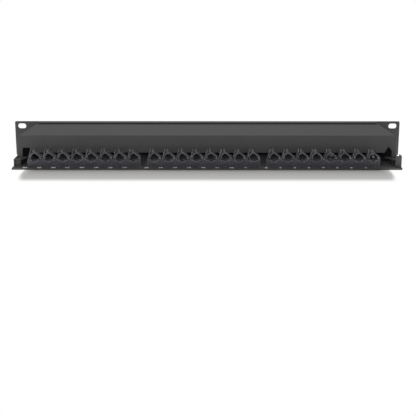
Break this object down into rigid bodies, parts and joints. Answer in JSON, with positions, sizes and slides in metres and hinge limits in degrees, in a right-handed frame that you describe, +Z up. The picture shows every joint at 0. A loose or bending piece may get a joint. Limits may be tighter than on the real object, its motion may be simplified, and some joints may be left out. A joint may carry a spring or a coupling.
{
  "type": "rack patch bay",
  "caption": "One-unit rack patch bay: modular ports in a slotted front panel, a folded rear cover over a cable tray, and a hinged cable clamp behind every port.",
  "frame": {"origin": "centre of the four rack slots, on the rear face of the front panel, which seats on the rack rails", "axes": "+X along the panel, to the right as seen from behind; +Y out of the front of the panel; +Z up"},
  "size_m": [0.4826, 0.0973, 0.0436],
  "materials": {
    "black_paint": "fine satin powder coat",
    "clamp_plastic": "moulded nylon",
    "jack_plastic": "moulded",
    "contact_metal": "bright",
    "board_laminate": "satin solder mask",
    "terminal_plastic": "moulded",
    "bright_steel": "zinc plated",
    "label_card": "satin"
  },
  "bodies": {
    "chassis": {"front_panel": "black_paint", "top_cover": "black_paint", "bottom_tray": "black_paint", "circuit_board_left": "board_laminate", "jack_block_left": "jack_plastic", "jack_contacts_left": "contact_metal", "wire_terminals_left": "terminal_plastic", "clamp_base_left": "clamp_plastic", "hinge_pins_left": "bright_steel", "circuit_board_middle": "board_laminate", "jack_block_middle": "jack_plastic", "jack_contacts_middle": "contact_metal", "wire_terminals_middle": "terminal_plastic", "clamp_base_middle": "clamp_plastic", "hinge_pins_middle": "bright_steel", "circuit_board_right": "board_laminate", "jack_block_right": "jack_plastic", "jack_contacts_right": "contact_metal", "wire_terminals_right": "terminal_plastic", "clamp_base_right": "clamp_plastic", "hinge_pins_right": "bright_steel", "label_strips": "label_card", "board_standoffs": "contact_metal", "board_screws": "bright_steel", "clamp_screws": "bright_steel", "cover_screws": "bright_steel", "cover_nuts": "bright_steel", "ground_stud": "bright_steel", "ground_nuts": "bright_steel"},
    "strap_01": {"clamp_strap_01": "clamp_plastic"},
    "strap_02": {"clamp_strap_02": "clamp_plastic"},
    "strap_03": {"clamp_strap_03": "clamp_plastic"},
    "strap_04": {"clamp_strap_04": "clamp_plastic"},
    "strap_05": {"clamp_strap_05": "clamp_plastic"},
    "strap_06": {"clamp_strap_06": "clamp_plastic"},
    "strap_07": {"clamp_strap_07": "clamp_plastic"},
    "strap_08": {"clamp_strap_08": "clamp_plastic"},
    "strap_09": {"clamp_strap_09": "clamp_plastic"},
    "strap_10": {"clamp_strap_10": "clamp_plastic"},
    "strap_11": {"clamp_strap_11": "clamp_plastic"},
    "strap_12": {"clamp_strap_12": "clamp_plastic"},
    "strap_13": {"clamp_strap_13": "clamp_plastic"},
    "strap_14": {"clamp_strap_14": "clamp_plastic"},
    "strap_15": {"clamp_strap_15": "clamp_plastic"},
    "strap_16": {"clamp_strap_16": "clamp_plastic"},
    "strap_17": {"clamp_strap_17": "clamp_plastic"},
    "strap_18": {"clamp_strap_18": "clamp_plastic"},
    "strap_19": {"clamp_strap_19": "clamp_plastic"},
    "strap_20": {"clamp_strap_20": "clamp_plastic"},
    "strap_21": {"clamp_strap_21": "clamp_plastic"},
    "strap_22": {"clamp_strap_22": "clamp_plastic"},
    "strap_23": {"clamp_strap_23": "clamp_plastic"},
    "strap_24": {"clamp_strap_24": "clamp_plastic"}
  },
  "joints": [
    {"name": "strap_01_hinge", "type": "hinge", "parent": "chassis", "child": "strap_01", "pos_m": [0.1988, -0.083, -0.00485], "axis": [0, 1, 0], "range_deg": [0, 50]},
    {"name": "strap_02_hinge", "type": "hinge", "parent": "chassis", "child": "strap_02", "pos_m": [0.1824, -0.083, -0.00485], "axis": [0, 1, 0], "range_deg": [0, 50]},
    {"name": "strap_03_hinge", "type": "hinge", "parent": "chassis", "child": "strap_03", "pos_m": [0.166, -0.083, -0.00485], "axis": [0, 1, 0], "range_deg": [0, 50]},
    {"name": "strap_04_hinge", "type": "hinge", "parent": "chassis", "child": "strap_04", "pos_m": [0.1496, -0.083, -0.00485], "axis": [0, 1, 0], "range_deg": [0, 50]},
    {"name": "strap_05_hinge", "type": "hinge", "parent": "chassis", "child": "strap_05", "pos_m": [0.1332, -0.083, -0.00485], "axis": [0, 1, 0], "range_deg": [0, 50]},
    {"name": "strap_06_hinge", "type": "hinge", "parent": "chassis", "child": "strap_06", "pos_m": [0.1168, -0.083, -0.00485], "axis": [0, 1, 0], "range_deg": [0, 50]},
    {"name": "strap_07_hinge", "type": "hinge", "parent": "chassis", "child": "strap_07", "pos_m": [0.1004, -0.083, -0.00485], "axis": [0, 1, 0], "range_deg": [0, 50]},
    {"name": "strap_08_hinge", "type": "hinge", "parent": "chassis", "child": "strap_08", "pos_m": [0.084, -0.083, -0.00485], "axis": [0, 1, 0], "range_deg": [0, 50]},
    {"name": "strap_09_hinge", "type": "hinge", "parent": "chassis", "child": "strap_09", "pos_m": [0.0602, -0.083, -0.00485], "axis": [0, 1, 0], "range_deg": [0, 50]},
    {"name": "strap_10_hinge", "type": "hinge", "parent": "chassis", "child": "strap_10", "pos_m": [0.0438, -0.083, -0.00485], "axis": [0, 1, 0], "range_deg": [0, 50]},
    {"name": "strap_11_hinge", "type": "hinge", "parent": "chassis", "child": "strap_11", "pos_m": [0.0274, -0.083, -0.00485], "axis": [0, 1, 0], "range_deg": [0, 50]},
    {"name": "strap_12_hinge", "type": "hinge", "parent": "chassis", "child": "strap_12", "pos_m": [0.011, -0.083, -0.00485], "axis": [0, 1, 0], "range_deg": [0, 50]},
    {"name": "strap_13_hinge", "type": "hinge", "parent": "chassis", "child": "strap_13", "pos_m": [-0.0054, -0.083, -0.00485], "axis": [0, 1, 0], "range_deg": [0, 50]},
    {"name": "strap_14_hinge", "type": "hinge", "parent": "chassis", "child": "strap_14", "pos_m": [-0.0218, -0.083, -0.00485], "axis": [0, 1, 0], "range_deg": [0, 50]},
    {"name": "strap_15_hinge", "type": "hinge", "parent": "chassis", "child": "strap_15", "pos_m": [-0.0382, -0.083, -0.00485], "axis": [0, 1, 0], "range_deg": [0, 50]},
    {"name": "strap_16_hinge", "type": "hinge", "parent": "chassis", "child": "strap_16", "pos_m": [-0.0546, -0.083, -0.00485], "axis": [0, 1, 0], "range_deg": [0, 50]},
    {"name": "strap_17_hinge", "type": "hinge", "parent": "chassis", "child": "strap_17", "pos_m": [-0.0784, -0.083, -0.00485], "axis": [0, 1, 0], "range_deg": [0, 50]},
    {"name": "strap_18_hinge", "type": "hinge", "parent": "chassis", "child": "strap_18", "pos_m": [-0.0948, -0.083, -0.00485], "axis": [0, 1, 0], "range_deg": [0, 50]},
    {"name": "strap_19_hinge", "type": "hinge", "parent": "chassis", "child": "strap_19", "pos_m": [-0.1112, -0.083, -0.00485], "axis": [0, 1, 0], "range_deg": [0, 50]},
    {"name": "strap_20_hinge", "type": "hinge", "parent": "chassis", "child": "strap_20", "pos_m": [-0.1276, -0.083, -0.00485], "axis": [0, 1, 0], "range_deg": [0, 50]},
    {"name": "strap_21_hinge", "type": "hinge", "parent": "chassis", "child": "strap_21", "pos_m": [-0.144, -0.083, -0.00485], "axis": [0, 1, 0], "range_deg": [0, 50]},
    {"name": "strap_22_hinge", "type": "hinge", "parent": "chassis", "child": "strap_22", "pos_m": [-0.1604, -0.083, -0.00485], "axis": [0, 1, 0], "range_deg": [0, 50]},
    {"name": "strap_23_hinge", "type": "hinge", "parent": "chassis", "child": "strap_23", "pos_m": [-0.1768, -0.083, -0.00485], "axis": [0, 1, 0], "range_deg": [0, 50]},
    {"name": "strap_24_hinge", "type": "hinge", "parent": "chassis", "child": "strap_24", "pos_m": [-0.1932, -0.083, -0.00485], "axis": [0, 1, 0], "range_deg": [0, 50]}
  ]
}
